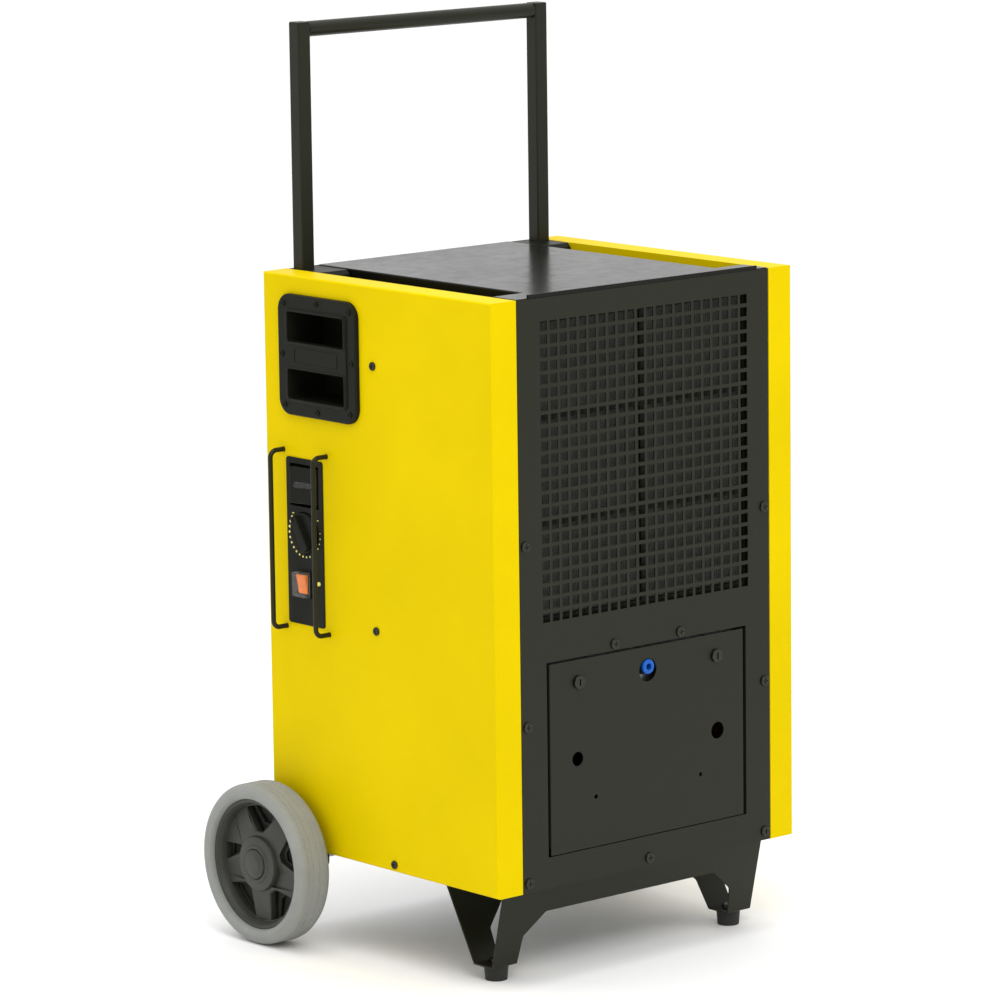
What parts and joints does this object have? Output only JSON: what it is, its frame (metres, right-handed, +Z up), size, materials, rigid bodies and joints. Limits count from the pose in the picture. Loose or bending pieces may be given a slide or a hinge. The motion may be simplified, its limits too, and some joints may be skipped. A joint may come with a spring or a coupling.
{
  "type": "commercial dehumidifier",
  "caption": "Upright commercial dehumidifier on wheels and a folded stand, with push handle, intake grille, service hatch, drain port and guarded side controls.",
  "frame": {"origin": "on the floor under the centre of the overall box", "axes": "+X to the right seen from the intake side, +Y from the intake grille to the outlet side, +Z up"},
  "size_m": [0.604, 0.499, 1.1274],
  "materials": {
    "yellow_paint": "semi-gloss powder coat",
    "black_paint": "satin powder coat",
    "lid_paint": "smooth semi-gloss coat",
    "zinc_steel": "galvanised",
    "screw_steel": "blackened",
    "grey_rubber": "solid rubber",
    "black_rubber": "moulded",
    "rim_plastic": "glass-filled nylon",
    "black_plastic": "moulded",
    "orange_plastic": "lit rocker",
    "blue_plastic": "moulded",
    "clear_cover": "clear splash cover",
    "clear_window": "clear window",
    "lamp_lens": "diffuse lens",
    "aluminium_fin": "mill finish",
    "copper": "copper tube",
    "filter_fibre": "mesh",
    "clear_hose": "hose"
  },
  "bodies": {
    "cabinet": {"axle": "zinc_steel", "axle_brackets": "black_paint", "axle_spacers": "zinc_steel", "base_tray": "zinc_steel", "cable_gland": "black_plastic", "carry_handle_left": "black_plastic", "carry_handle_right": "black_plastic", "carry_handle_screws": "black_plastic", "coil_plates": "zinc_steel", "coil_tubes": "copper", "compressor": "black_paint", "compressor_mounts": "black_rubber", "condenser_fins": "aluminium_fin", "control_plate": "black_plastic", "counter_window": "clear_window", "drain_connector": "black_plastic", "drain_hose": "clear_hose", "drip_tray": "black_plastic", "electrical_box": "black_plastic", "evaporator_fins": "aluminium_fin", "fan_motor": "zinc_steel", "fan_shroud": "zinc_steel", "filter_frame": "black_plastic", "filter_mat": "filter_fibre", "foot_pads": "black_rubber", "frame_bolts": "screw_steel", "front_panel": "black_paint", "front_stand": "black_paint", "guard_bar_nuts": "zinc_steel", "guard_bars": "black_paint", "handle_guide_blocks": "black_plastic", "handle_sockets": "zinc_steel", "hatch_receiver": "zinc_steel", "hours_counter": "black_plastic", "hub_caps": "rim_plastic", "humidistat_body": "black_plastic", "indicator_lamp": "lamp_lens", "machine_deck": "zinc_steel", "panel_screws": "screw_steel", "rear_panel": "black_paint", "refrigerant_pipes": "copper", "side_panel_left": "yellow_paint", "side_panel_right": "yellow_paint", "switch_cap": "clear_cover", "switch_housing": "black_plastic", "top_frame": "zinc_steel", "top_lid": "lid_paint"},
    "push_handle": {"handle_frame": "black_paint", "handle_grip": "black_paint"},
    "wheel_left": {"tire_left": "grey_rubber", "wheel_rim_left": "rim_plastic"},
    "wheel_right": {"tire_right": "grey_rubber", "wheel_rim_right": "rim_plastic"},
    "hatch": {"service_hatch": "black_paint"},
    "left_fastener": {"hatch_fastener_left": "screw_steel"},
    "right_fastener": {"hatch_fastener_right": "screw_steel"},
    "release_collar": {"drain_release_collar": "blue_plastic"},
    "knob": {"humidistat_knob": "black_plastic"},
    "rocker": {"power_rocker": "orange_plastic"},
    "impeller": {"fan_impeller": "black_plastic"}
  },
  "joints": [
    {"name": "handle_slide", "type": "slide", "parent": "cabinet", "child": "push_handle", "axis": [0, 0, 1], "range_m": [-0.24, 0]},
    {"name": "wheel_left_spin", "type": "hinge", "parent": "cabinet", "child": "wheel_left", "pos_m": [-0.2775, 0.1495, 0.1], "axis": [1, 0, 0], "continuous": true},
    {"name": "wheel_right_spin", "type": "hinge", "parent": "cabinet", "child": "wheel_right", "pos_m": [0.2775, 0.1495, 0.1], "axis": [1, 0, 0], "continuous": true},
    {"name": "hatch_tilt", "type": "hinge", "parent": "cabinet", "child": "hatch", "pos_m": [0, -0.2443, 0.1558], "axis": [1, 0, 0], "range_deg": [0, 35]},
    {"name": "left_fastener_turn", "type": "hinge", "parent": "hatch", "child": "left_fastener", "pos_m": [-0.112, -0.2459, 0.361], "axis": [0, 1, 0], "range_deg": [0, 90]},
    {"name": "right_fastener_turn", "type": "hinge", "parent": "hatch", "child": "right_fastener", "pos_m": [0.112, -0.2459, 0.361], "axis": [0, 1, 0], "range_deg": [0, 90]},
    {"name": "collar_press", "type": "slide", "parent": "cabinet", "child": "release_collar", "axis": [0, 1, 0], "range_m": [0, 0.002]},
    {"name": "knob_turn", "type": "hinge", "parent": "cabinet", "child": "knob", "pos_m": [-0.246, 0.1041, 0.5124], "axis": [1, 0, 0], "range_deg": [-104, 162]},
    {"name": "rocker_tip", "type": "hinge", "parent": "cabinet", "child": "rocker", "pos_m": [-0.242, 0.1071, 0.4489], "axis": [0, 1, 0], "range_deg": [0, 14]},
    {"name": "fan_spin", "type": "hinge", "parent": "cabinet", "child": "impeller", "pos_m": [0, 0.0061, 0.6174], "axis": [0, 1, 0], "continuous": true}
  ]
}
